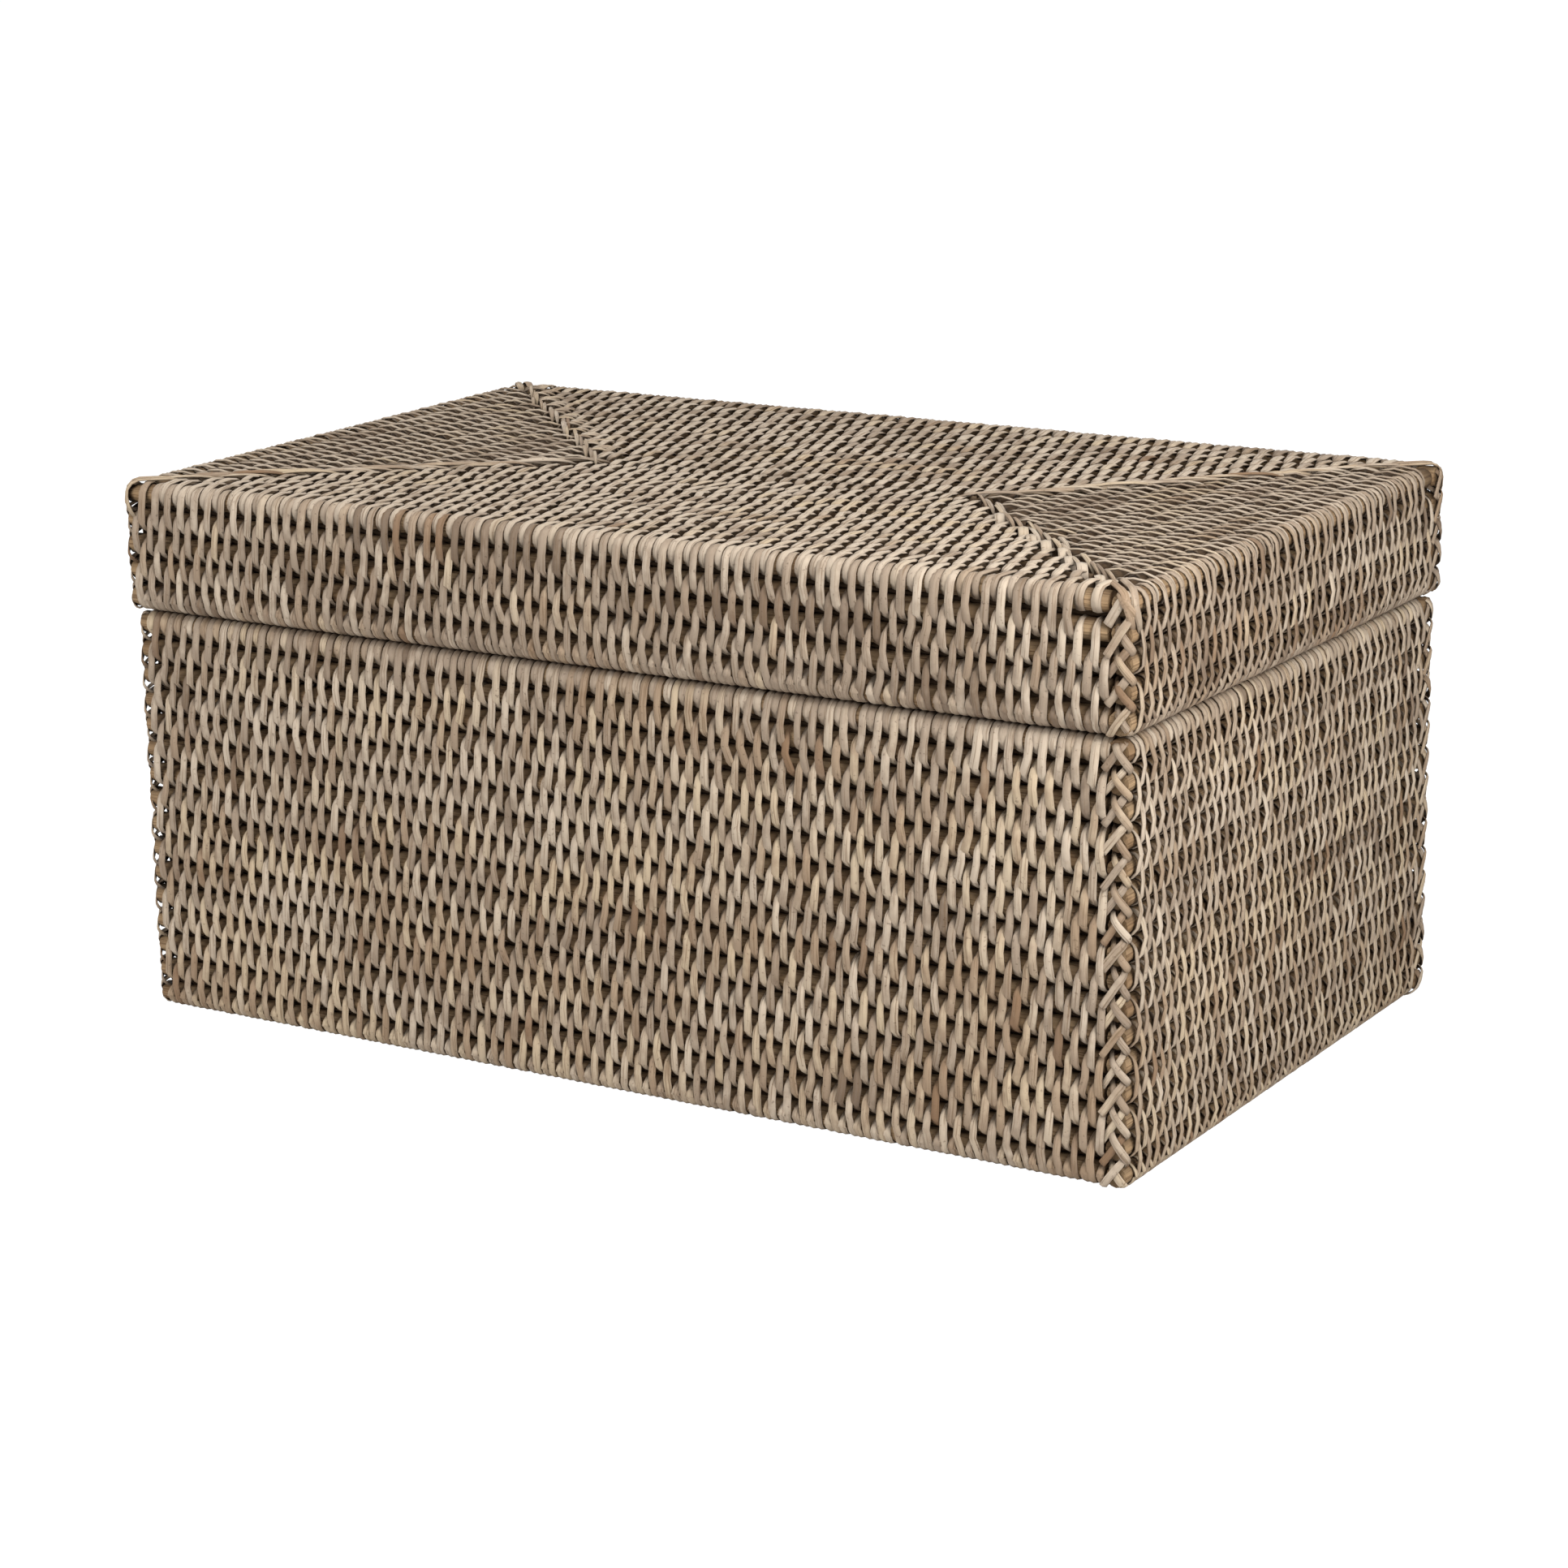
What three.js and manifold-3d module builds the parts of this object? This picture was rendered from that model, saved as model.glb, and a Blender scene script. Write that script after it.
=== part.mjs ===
// Woven lidded box: round rattan rods bound with split cane into a base and a loose lid.
// Millimetres, +Z up. The origin is the centre of the underside, +X runs along the box
// and the front wall faces -Y.
import * as THREE from 'three';
import { mergeVertices } from 'three/addons/utils/BufferGeometryUtils.js';
import Module from 'manifold-3d';

// Driving dimensions
const LID_LENGTH = 460; // over the bound rods
const LID_WIDTH = 280; // over the bound rods
const LID_OVERHANG = 2; // how far the lid stands past the base, all round
const ROD_DIAMETER = 10.2; // a rod with the cane that is bound round it
const ROD_PITCH = 10.6; // from one rod of a wall to the next
const RIM_WRAP = 0.5; // the second wrapping of a rim rod, which thickens it all round
const RIM_DIAMETER = ROD_DIAMETER + 2 * RIM_WRAP; // a rim rod, wrapped twice as closely as the others
const VALLEY_THICKNESS = 5; // a panel's thickness between two rods
const BASE_ROWS = 16; // rods in a base wall, with its foot rod and rim rod
const LID_ROWS = 5; // rods in a lid wall, with its rim rod and edge rod
const FIT_GAP = 0.3; // between pieces that are bound or rest against each other
const LACING_TUCK = 1.8; // how far a corner lacing draws in between two of its crossings
const LACING_ROUND = 4; // radius of a corner lacing's outer edge
const HIP_WIDTH = 11; // lacing along the diagonals of the lid's top
const HIP_RISE = 1; // how far that lacing stands above the rods
const COLLAR_THICKNESS = 4; // slats inside the base that keep the lid in place
const COLLAR_STAND = 12; // height of the slats above the rim
const COLLAR_BOUND = 20; // height of the slats below the rim, bound to the wall

// Facets and small details of the shapes
const ROD_SIDES = 12;
const SWELL = [0.3, 0.7]; // where a corner lacing is widest, as shares of one row
const TIP_HALF_WIDTH = 1; // blunt point of a three-cornered top panel
const MERGE_TOLERANCE = 1e-4;

// Finishes
const boundCane = new THREE.MeshStandardMaterial({ color: 0xa8957a, roughness: 0.75, metalness: 0 });
const wrappedRod = new THREE.MeshStandardMaterial({ color: 0xa48d70, roughness: 0.7, metalness: 0 });
const lacedCane = new THREE.MeshStandardMaterial({ color: 0xb39c7c, roughness: 0.7, metalness: 0 });
const slatWood = new THREE.MeshStandardMaterial({ color: 0x9a7f5e, roughness: 0.65, metalness: 0 });

// Sizes that follow from the driving dimensions
const rodRadius = ROD_DIAMETER / 2;
const halfFacet = Math.PI / ROD_SIDES; // half the angle that one flat of a rod takes up
const valleyHalf = VALLEY_THICKNESS / 2;
const baseLength = LID_LENGTH - 2 * LID_OVERHANG;
const baseWidth = LID_WIDTH - 2 * LID_OVERHANG;
const baseHeight = (BASE_ROWS - 1) * ROD_PITCH + RIM_DIAMETER;
const lidHeight = (LID_ROWS - 1) * ROD_PITCH + RIM_DIAMETER;
const inset = ROD_DIAMETER + FIT_GAP; // from an outer face to what lies inside a wall
const rimInset = RIM_DIAMETER + FIT_GAP; // from an outer face to what lies inside a rim or corner

const wasm = await Module();
wasm.setup();

// A closed geometry as a solid for cutting.
function toSolid(geometry) {
  const bare = geometry.clone();
  bare.deleteAttribute('normal');
  bare.deleteAttribute('uv');
  const merged = mergeVertices(bare, MERGE_TOLERANCE);
  return new wasm.Manifold(new wasm.Mesh({
    numProp: 3,
    vertProperties: new Float32Array(merged.attributes.position.array),
    triVerts: new Uint32Array(merged.index.array),
  }));
}

// A cut solid as a geometry again.
function toGeometry(solid) {
  const mesh = solid.getMesh();
  const geometry = new THREE.BufferGeometry();
  geometry.setAttribute('position', new THREE.BufferAttribute(mesh.vertProperties, 3));
  geometry.setIndex(new THREE.BufferAttribute(mesh.triVerts, 1));
  geometry.computeVertexNormals();
  return geometry;
}

// A section with its height along +Z, carried along X and centred on it.
function alongX(section, run) {
  const geometry = new THREE.ExtrudeGeometry(section, { depth: run, bevelEnabled: false });
  geometry.translate(0, 0, -run / 2);
  const lay = new THREE.Matrix4().makeBasis(
    new THREE.Vector3(0, 1, 0),
    new THREE.Vector3(0, 0, 1),
    new THREE.Vector3(1, 0, 0),
  );
  return geometry.applyMatrix4(lay);
}

// A wrapped rod along X, faceted with flats that face up, down and sideways.
function rodGeometry(diameter, run) {
  const cornerRadius = diameter / 2 / Math.cos(halfFacet);
  const points = [];
  for (let i = 0; i < ROD_SIDES; i += 1) {
    const angle = (2 * i + 1) * halfFacet;
    points.push(new THREE.Vector2(cornerRadius * Math.cos(angle), cornerRadius * Math.sin(angle)));
  }
  return alongX(new THREE.Shape(points), run);
}

// One face of a bound panel from low to high: a rod's flats at each rod and a valley between.
function ridgedFace(centres, low, high) {
  const cornerRadius = rodRadius / Math.cos(halfFacet);
  const reach = Math.acos(valleyHalf / cornerRadius);
  const corners = [-reach, -3 * halfFacet, -halfFacet, halfFacet, 3 * halfFacet, reach];
  const face = [new THREE.Vector2(valleyHalf, low)];
  for (const centre of centres) {
    for (const angle of corners) {
      const across = cornerRadius * Math.cos(angle);
      face.push(new THREE.Vector2(across, centre + cornerRadius * Math.sin(angle)));
    }
  }
  face.push(new THREE.Vector2(valleyHalf, high));
  return face;
}

// A bound panel along X with its rods stacked up Z.
function panelGeometry(centres, low, high, run) {
  const inner = ridgedFace(centres, low, high);
  const outer = inner.map((point) => new THREE.Vector2(-point.x, point.y)).reverse();
  return alongX(new THREE.Shape([...inner, ...outer]), run);
}

// Heights of a row of rods, the first one at first.
function rowCentres(first, pitch, count) {
  return Array.from({ length: count }, (_, i) => first + i * pitch);
}

// The four sides, each modelled as a front wall and turned into its place. Along is the outer
// length of the side, and reach is the distance from the middle to its outer face.
function sidesOf(length, width) {
  return [
    { name: 'front', turn: 0, along: length, reach: width / 2, butts: false },
    { name: 'right', turn: Math.PI / 2, along: width, reach: length / 2, butts: true },
    { name: 'back', turn: Math.PI, along: length, reach: width / 2, butts: false },
    { name: 'left', turn: -Math.PI / 2, along: width, reach: length / 2, butts: true },
  ];
}

// The four corners, with the side of the middle that each lies on and the turn of its lacing.
const CORNERS = [
  { name: 'front_right', x: 1, y: -1, turn: 0 },
  { name: 'back_right', x: 1, y: 1, turn: Math.PI / 2 },
  { name: 'back_left', x: -1, y: 1, turn: Math.PI },
  { name: 'front_left', x: -1, y: -1, turn: -Math.PI / 2 },
];

// A corner lacing's outline, drawn in by tuck. The corner's outer edge is at 0, 0.
function lacingOutline(tuck) {
  const arc = [-90, -45, 0].map((degrees) => {
    const angle = THREE.MathUtils.degToRad(degrees);
    const radius = LACING_ROUND - tuck;
    return [radius * Math.cos(angle) - LACING_ROUND, radius * Math.sin(angle) + LACING_ROUND];
  });
  return [[-RIM_DIAMETER, RIM_DIAMETER], [-RIM_DIAMETER, tuck], ...arc, [-tuck, RIM_DIAMETER]];
}

// A corner lacing: the outline swells at each crossing, one to a rod, and draws in between.
function lacingGeometry(rows, height) {
  const step = height / rows;
  const rings = [];
  for (let row = 0; row < rows; row += 1) {
    rings.push([LACING_TUCK, row * step]);
    SWELL.forEach((share) => rings.push([0, (row + share) * step]));
  }
  rings.push([LACING_TUCK, height]);
  const positions = [];
  for (const [tuck, z] of rings) {
    lacingOutline(tuck).forEach(([x, y]) => positions.push(x, y, z));
  }
  const sides = lacingOutline(0).length;
  const index = [];
  for (let ring = 0; ring < rings.length - 1; ring += 1) {
    for (let i = 0; i < sides; i += 1) {
      const a = ring * sides + i;
      const b = ring * sides + ((i + 1) % sides);
      index.push(a, b, b + sides, a, b + sides, a + sides);
    }
  }
  const contour = lacingOutline(LACING_TUCK).map(([x, y]) => new THREE.Vector2(x, y));
  const top = (rings.length - 1) * sides;
  for (const [a, b, c] of THREE.ShapeUtils.triangulateShape(contour, [])) {
    index.push(c, b, a, top + a, top + b, top + c);
  }
  const geometry = new THREE.BufferGeometry();
  geometry.setAttribute('position', new THREE.Float32BufferAttribute(positions, 3));
  geometry.setIndex(index);
  geometry.computeVertexNormals();
  return geometry;
}

function addMesh(group, name, geometry, material, x, y, z) {
  const mesh = new THREE.Mesh(geometry, material);
  mesh.name = name;
  mesh.position.set(x, y, z);
  group.add(mesh);
  return mesh;
}

// Walls of one half of the box: a lower rod, a bound panel and an upper rod on each side, and
// the lacing that ties the corners. Lower and upper hold the end rods' names and diameters.
function addWalls(half, prefix, length, width, rows, lower, upper) {
  const height = (rows - 1) * ROD_PITCH + RIM_DIAMETER;
  const firstRow = lower.diameter + ROD_PITCH - rodRadius;
  const centres = rowCentres(firstRow, ROD_PITCH, rows - 2);
  for (const side of sidesOf(length, width)) {
    const turned = new THREE.Group();
    turned.rotation.z = side.turn;
    half.add(turned);
    const run = side.along - 2 * rimInset;
    const low = lower.diameter + FIT_GAP;
    const high = height - upper.diameter - FIT_GAP;
    const wall = panelGeometry(centres, low, high, run);
    addMesh(turned, `${prefix}_wall_${side.name}`, wall, boundCane, 0, rodRadius - side.reach, 0);
    for (const [rod, z] of [[lower, lower.diameter / 2], [upper, height - upper.diameter / 2]]) {
      const name = `${prefix}_${rod.name}_${side.name}`;
      const y = rod.diameter / 2 - side.reach;
      addMesh(turned, name, rodGeometry(rod.diameter, run), wrappedRod, 0, y, z);
    }
  }
  for (const corner of CORNERS) {
    const lacing = lacingGeometry(rows, height);
    const x = (corner.x * length) / 2;
    const y = (corner.y * width) / 2;
    const mesh = addMesh(half, `${prefix}_corner_lacing_${corner.name}`, lacing, lacedCane, x, y, 0);
    mesh.rotation.z = corner.turn;
  }
}

// Floor of rods bound side by side between the four walls, with one rod in the middle.
function addFloor(half) {
  const halfWidth = baseWidth / 2 - inset;
  const count = 2 * Math.floor(halfWidth / ROD_PITCH - 0.5) + 1;
  const pitch = (2 * halfWidth) / count;
  const centres = rowCentres(pitch / 2 - halfWidth, pitch, count);
  const floor = panelGeometry(centres, -halfWidth, halfWidth, baseLength - 2 * rimInset);
  addMesh(half, 'base_floor', floor.rotateX(Math.PI / 2), boundCane, 0, 0, rodRadius);
}

// Collar slats on the inner faces of the walls, standing up into the lid.
function addCollar(half) {
  for (const side of sidesOf(baseLength, baseWidth)) {
    const turned = new THREE.Group();
    turned.rotation.z = side.turn;
    half.add(turned);
    const butt = side.butts ? COLLAR_THICKNESS + FIT_GAP : 0;
    const run = side.along - 2 * (rimInset + butt);
    const slat = new THREE.BoxGeometry(run, COLLAR_THICKNESS, COLLAR_STAND + COLLAR_BOUND);
    const y = rimInset + COLLAR_THICKNESS / 2 - side.reach;
    const z = baseHeight + (COLLAR_STAND - COLLAR_BOUND) / 2;
    addMesh(turned, `base_collar_slat_${side.name}`, slat, slatWood, 0, y, z);
  }
}

// Top of the lid: four bound panels that meet on diagonals, with lacing along the diagonals.
function addTop(half) {
  const ridge = LID_WIDTH / 2;
  const rows = Math.round((ridge - rodRadius) / ROD_PITCH - 0.5);
  const pitch = (ridge - rodRadius) / (rows + 0.5);
  const centres = rowCentres(rodRadius + pitch, pitch, rows);
  const hipReach = (HIP_WIDTH / 2) * Math.SQRT2; // half the lacing's width, measured along an edge
  const cutBack = hipReach + FIT_GAP * Math.SQRT2;

  for (const side of sidesOf(LID_LENGTH, LID_WIDTH)) {
    const turned = new THREE.Group();
    turned.rotation.z = side.turn;
    half.add(turned);
    const tip = side.along / 2 - cutBack - TIP_HALF_WIDTH;
    const depth = Math.min(ridge - FIT_GAP / 2, tip);
    const halfAt = (inward) => side.along / 2 - inward - cutBack;
    const plan = new THREE.Shape([
      new THREE.Vector2(-halfAt(inset), inset),
      new THREE.Vector2(halfAt(inset), inset),
      new THREE.Vector2(halfAt(depth), depth),
      new THREE.Vector2(-halfAt(depth), depth),
    ]);
    const within = new THREE.ExtrudeGeometry(plan, { depth: 2 * ROD_DIAMETER, bevelEnabled: false });
    within.translate(0, 0, -ROD_DIAMETER);
    const kept = centres.filter((centre) => centre + rodRadius < depth + ROD_PITCH);
    const bound = panelGeometry(kept, 0, ridge, side.along).rotateX(-Math.PI / 2);
    const panel = toGeometry(toSolid(bound).intersect(toSolid(within)));
    addMesh(turned, `lid_top_${side.name}`, panel, boundCane, 0, -side.reach, lidHeight - rodRadius);
  }

  const end = ridge - FIT_GAP / 2;
  const outline = [
    [rimInset, rimInset],
    [rimInset + hipReach, rimInset],
    [end + hipReach, end],
    [end - hipReach, end],
    [rimInset, rimInset + hipReach],
  ];
  for (const corner of CORNERS) {
    const plan = outline.map(([fromEnd, fromSide]) => new THREE.Vector2(
      corner.x * (LID_LENGTH / 2 - fromEnd),
      corner.y * (LID_WIDTH / 2 - fromSide),
    ));
    const depth = ROD_DIAMETER + HIP_RISE;
    const hip = new THREE.ExtrudeGeometry(new THREE.Shape(plan), { depth, bevelEnabled: false });
    addMesh(half, `lid_hip_lacing_${corner.name}`, hip, lacedCane, 0, 0, lidHeight - ROD_DIAMETER);
  }
}

const footRod = { name: 'foot_rod', diameter: ROD_DIAMETER };
const rimRod = { name: 'rim_rod', diameter: RIM_DIAMETER };
const edgeRod = { name: 'edge_rod', diameter: ROD_DIAMETER };

const base = new THREE.Group();
addFloor(base);
addWalls(base, 'base', baseLength, baseWidth, BASE_ROWS, footRod, rimRod);
addCollar(base);

const lid = new THREE.Group();
lid.position.z = baseHeight + FIT_GAP;
addWalls(lid, 'lid', LID_LENGTH, LID_WIDTH, LID_ROWS, rimRod, edgeRod);
addTop(lid);

const box = new THREE.Group();
box.add(base, lid);

export default box;
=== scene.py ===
# %% [markdown]
# # A woven cane box with a loose lid
# The real box is a stack of round rattan rods on every side. Strips of split cane bind the rods:
# a strip runs outside over two rods, dives between them, goes back inside round one rod and comes
# out again half a step further on. Here every rod and strip is a swept surface, and each panel
# rides on the body of its solid.

import bpy
import numpy as np
from mathutils import Matrix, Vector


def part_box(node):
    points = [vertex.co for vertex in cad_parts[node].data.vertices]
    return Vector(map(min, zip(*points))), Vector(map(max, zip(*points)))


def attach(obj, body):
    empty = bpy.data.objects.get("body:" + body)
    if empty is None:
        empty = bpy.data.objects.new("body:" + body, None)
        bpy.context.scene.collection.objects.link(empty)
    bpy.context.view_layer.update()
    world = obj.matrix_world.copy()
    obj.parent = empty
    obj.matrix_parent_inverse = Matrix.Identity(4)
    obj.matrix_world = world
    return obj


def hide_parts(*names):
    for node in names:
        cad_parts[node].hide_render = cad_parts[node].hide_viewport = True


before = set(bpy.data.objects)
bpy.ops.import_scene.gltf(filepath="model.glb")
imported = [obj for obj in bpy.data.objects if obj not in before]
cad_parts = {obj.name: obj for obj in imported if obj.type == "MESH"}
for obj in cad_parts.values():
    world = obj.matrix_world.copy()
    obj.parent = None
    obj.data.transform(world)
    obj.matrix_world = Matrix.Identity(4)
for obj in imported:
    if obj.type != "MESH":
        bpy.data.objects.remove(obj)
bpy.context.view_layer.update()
print("solids in the frame:", len(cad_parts))

# %% [markdown]
# ## Sizes
# The frame says where every panel is. It leaves the cane open: how thick a strip is and how
# loosely it lies on its rod. The bound radius could be typed in, but read off the solids it
# follows them. Lengths are in millimetres until a mesh is written.

# %% Sizes of rods and strips
MM = 0.001
UP = np.array([0.0, 0.0, 1.0])
STRIP_THICK = 0.8
SLACK = 0.12
rng = np.random.default_rng(7)


def box_mm(node):
    """Lowest and highest corner of a solid, in millimetres."""
    return [np.array(corner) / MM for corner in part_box(node)]


def wrapped_radius(node):
    """Radius of a rod with its binding."""
    low, high = box_mm(node)
    return (high[2] - low[2]) / 2


WRAPPED = wrapped_radius("base_foot_rod_front")
RIM_WRAPPED = wrapped_radius("base_rim_rod_front")
ROD = WRAPPED - STRIP_THICK - SLACK
print("rod, bound rod and rim, in mm:", [round(size, 2) for size in (ROD, WRAPPED, RIM_WRAPPED)])

# %% [markdown]
# ## Four sides, one recipe
# The walls differ only in where they face. Modelled one by one, every change would be made four
# times. So a side gets two directions, along its rods and outwards, and one recipe serves all
# four. A side also knows its cane: how wide the strips are, how they bow and lean, and its tone,
# which is painted light and shade: the lid's walls are painted darker than the base's.

# %% Sides of the base and the lid
BASE_ROWS = 16
LID_ROWS = 5
FACING = {"front": (0, -1), "right": (1, 0), "back": (0, 1), "left": (-1, 0)}
PARTS = {"base": ("foot_rod", "rim_rod", BASE_ROWS), "lid": ("rim_rod", "edge_rod", LID_ROWS)}
STRIP_WIDTH = {"front": 3.45, "right": 3.2, "back": 3.45, "left": 3.2}
# Tone of each half: the lid's is lower as painted shade.
TONE_AND_SHADE = {"base": 0.48, "lid": 0.34}
WALL_LEAN = -0.25
WALL_BOW = 1.5


class Side:
    """One side: its directions, its outer half length, and its rods from the top down.

    All rods are alike but the rim rod, which is thicker: the base's first or the lid's last.
    The pitch is taken between undersides on the base and between upper faces on the lid.
    """

    def __init__(self, half, name):
        self.half = half
        self.name = name
        self.strip = STRIP_WIDTH[name]
        self.bow = WALL_BOW
        self.lean = WALL_LEAN
        self.tone = TONE_AND_SHADE[half]
        self.edge = 0.0
        self.outward = np.array([1.0, 0.0])
        self.out = np.array([*FACING[name], 0.0])
        self.along = np.cross(UP, self.out)
        corner = np.abs(box_mm(f"{half}_corner_lacing_front_right"))[:, :2].max(axis=0)
        self.reach = abs(self.out[:2] @ corner)
        self.half_length = abs(self.along[:2] @ corner)
        self.stack_rods()

    def stack_rods(self):
        """Heights at even steps from the first rod to the last, the rim rod at its own height."""
        lower, upper, rows = PARTS[self.half]
        foot = box_mm(f"{self.half}_{lower}_{self.name}")
        top = box_mm(f"{self.half}_{upper}_{self.name}")
        first, last = sum(top)[2] / 2, sum(foot)[2] / 2
        row = np.arange(rows)
        base = self.half == "base"
        face = 0 if base else 1
        self.pitch = (top[face][2] - foot[face][2]) / (rows - 1)
        even = last + self.pitch * row[::-1] if base else first - self.pitch * row
        rim = row == (0 if base else rows - 1)
        self.heights = np.where(rim, first if base else last, even)
        self.bound = np.where(rim, RIM_WRAPPED, WRAPPED)
        self.rods = np.stack([self.reach - self.bound, self.heights], axis=1)

    def turn(self, along, across):
        """Ways or points of the side as those of the box: along the rods, then out and up."""
        spread = along[..., None] * self.along
        return spread + across[..., :1] * self.out + across[..., 1:] * UP

    place = turn

    def corner(self, inset=0.0):
        """The corner at the end of the side, or a point inset from both its faces."""
        return self.along * (self.half_length - inset) + self.out * (self.reach - inset)


sides = {(half, name): Side(half, name) for half in PARTS for name in FACING}
print("from rod to rod on the base:", round(sides["base", "front"].pitch, 2), "mm")

# %% [markdown]
# ## Sweeping one section along many paths
# A strip and a rod are the same kind of surface: an outline carried along a path. Bevelled curves
# could do it, but they give no say in how a strip turns and narrows. A loop over a million points
# would be slow, so all paths of a panel lie in one array. A strip is flat below and crowned
# above, like cane split from a round stem.

# %% Sweep
STRIP_SECTION = np.array([(-0.5, -0.5), (0.5, -0.5), (0.48, 0.0), (0.0, 0.5), (-0.48, 0.0)])
STRIP_SMOOTH = np.array([False, False, True, True, False])
# Painted shade on a strip's edges, point by point round its section, scaled by a side's edge.
STRIP_EDGE_SHADE = np.array([1.0, 1.0, 0.4, 0.0, 0.4])
ROD_SIDES = 12
# Painted shade on every rod: a little on its crest, more towards the valleys beside it.
ROD_BASE_SHADE = 0.1
VALLEY_SHADE_SHARE = 0.6
GRAIN_RUN = 400
SPLIT_CANE = 0
BARE_ROD = 1


def unit(vectors):
    """Vectors scaled to length one."""
    return vectors / np.linalg.norm(vectors, axis=-1, keepdims=True)


def swing(angle, start, end):
    """The way from start towards end by an angle: start * cos + end * sin."""
    return np.cos(angle)[..., None] * start + np.sin(angle)[..., None] * end


def circle(count):
    """Points at even angles round a circle of radius one."""
    return swing(np.arange(count) * 2 * np.pi / count, *np.eye(2))


ROD_SECTION = circle(ROD_SIDES)


class Cane:
    """Swept cane waiting to become one mesh: points, faces and what the finish reads."""

    def __init__(self):
        self.points = []
        self.faces = []
        self.marks = []
        self.made = 0

    def sweep(self, path, normal, section, smooth, across, upward, shade, tuck, finish):
        """Carries the section along every path: point + side * across + normal * upward.

        Path is (paths, steps, 3) and shade (paths, 2). Normal, across, upward and tuck may leave
        out what is the same for all paths. Side is the tangent crossed with the normal.
        """
        count, steps, _ = path.shape
        ring = len(section)
        tangent = unit(np.gradient(path, axis=1))
        normal = unit(normal - (normal * tangent).sum(-1, keepdims=True) * tangent)
        side = np.cross(tangent, normal)
        wide = (across[..., None] * section[:, 0])[..., None]
        tall = (upward[..., None] * section[:, 1])[..., None]
        points = path[:, :, None] + side[:, :, None] * wide + normal[:, :, None] * tall
        shape = points.shape[:3]
        run = np.linalg.norm(np.diff(path, axis=1, prepend=path[:, :1]), axis=-1).cumsum(axis=1)
        run = run + rng.uniform(0, GRAIN_RUN, (count, 1))
        marks = (run[..., None], np.arange(ring) / ring, shade[:, :1, None], shade[:, 1:, None], tuck)
        marks = np.stack([np.broadcast_to(mark, shape) for mark in marks], axis=-1)
        number = self.made + np.arange(count * steps * ring).reshape(shape)
        ahead = np.roll(number, -1, axis=2)
        walls = np.stack([number[:, :-1], number[:, 1:], ahead[:, 1:], ahead[:, :-1]], axis=-1)
        soft = np.broadcast_to(smooth, walls.shape[:3])
        hard = np.zeros(count, bool)
        self.faces.append((walls.reshape(-1, 4), soft.ravel(), finish))
        self.faces.append((number[:, 0], hard, finish))
        self.faces.append((number[:, -1, ::-1], hard, finish))
        self.points.append(points.reshape(-1, 3))
        self.marks.append(marks.reshape(-1, marks.shape[-1]))
        self.made += number.size

    def strips(self, path, normal, width, shade, tuck, edge=0.0):
        """Split cane along each path, width given step by step; tuck and edge add painted shade."""
        thick = np.array([STRIP_THICK])
        dust = np.clip(tuck[..., None] + edge * STRIP_EDGE_SHADE, 0, 1)
        self.sweep(path, normal, STRIP_SECTION, STRIP_SMOOTH, width, thick, shade, dust, SPLIT_CANE)

    def rods(self, path, normal, radius, tuck):
        """Round rods along each path, with painted shade towards the valleys on both sides."""
        shade = rng.uniform(0, 1, (len(path), 2))
        smooth = np.ones(ROD_SIDES, bool)
        dust = np.clip(tuck + ROD_BASE_SHADE + VALLEY_SHADE_SHARE * np.abs(ROD_SECTION[:, 0]), 0, 1)
        self.sweep(path, normal, ROD_SECTION, smooth, radius, radius, shade, dust, BARE_ROD)


print("points round a strip:", len(STRIP_SECTION), "and round a rod:", ROD_SIDES)

# %% [markdown]
# ## Shader maths in Python
# A finish is easier to read as an expression than as a web of nodes. A small class wraps a
# socket, and each operator adds its Math node. One method adds any other node.

# %% Shader helper
class Value:
    """What a socket gives. Python's operators on it add Math nodes."""

    def __init__(self, nodes, socket):
        self.nodes = nodes
        self.socket = socket

    def maths(self, operation, other):
        """A Math node of this value and another."""
        return self.nodes.node("Math", {0: self, 1: other}, operation=operation)

    def __add__(self, other):
        return self.maths("ADD", other)

    def __mul__(self, other):
        return self.maths("MULTIPLY", other)

    def __sub__(self, other):
        return self.maths("SUBTRACT", other)

    def __rsub__(self, other):
        return (self * -1) + other

    __radd__ = __add__
    __rmul__ = __mul__

    def step(self, start, end):
        """0 before start, 1 past end, smooth between. Start may be the larger one."""
        inputs = {0: self, 1: start, 2: end}
        return self.nodes.node("MapRange", inputs, interpolation_type="SMOOTHSTEP")


class Nodes:
    """A node tree, with the one method that adds any node to it."""

    def __init__(self, tree):
        self.tree = tree

    def link(self, socket, source):
        """Links a value to a socket, or sets the socket to a constant."""
        if isinstance(source, Value):
            self.tree.links.new(source.socket, socket)
        else:
            socket.default_value = source

    def node(self, kind, inputs, output=0, **settings):
        """Adds a node: its settings, then a value or link for each input. Gives one output."""
        node = self.tree.nodes.new("ShaderNode" + kind)
        for setting, choice in settings.items():
            setattr(node, setting, choice)
        for key, source in inputs.items():
            self.link(node.inputs[key], source)
        return Value(self, node.outputs[output])


# %% [markdown]
# ## What a cane finish reads
# Each strip carries its own shade, and a map of where a point lies along it and across it. An
# image could give the grain, but stretched noise never repeats and follows every bend.

# %% Finish helper
MIX_FIRST, MIX_SECOND, MIX_RESULT = 6, 7, 2


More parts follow.
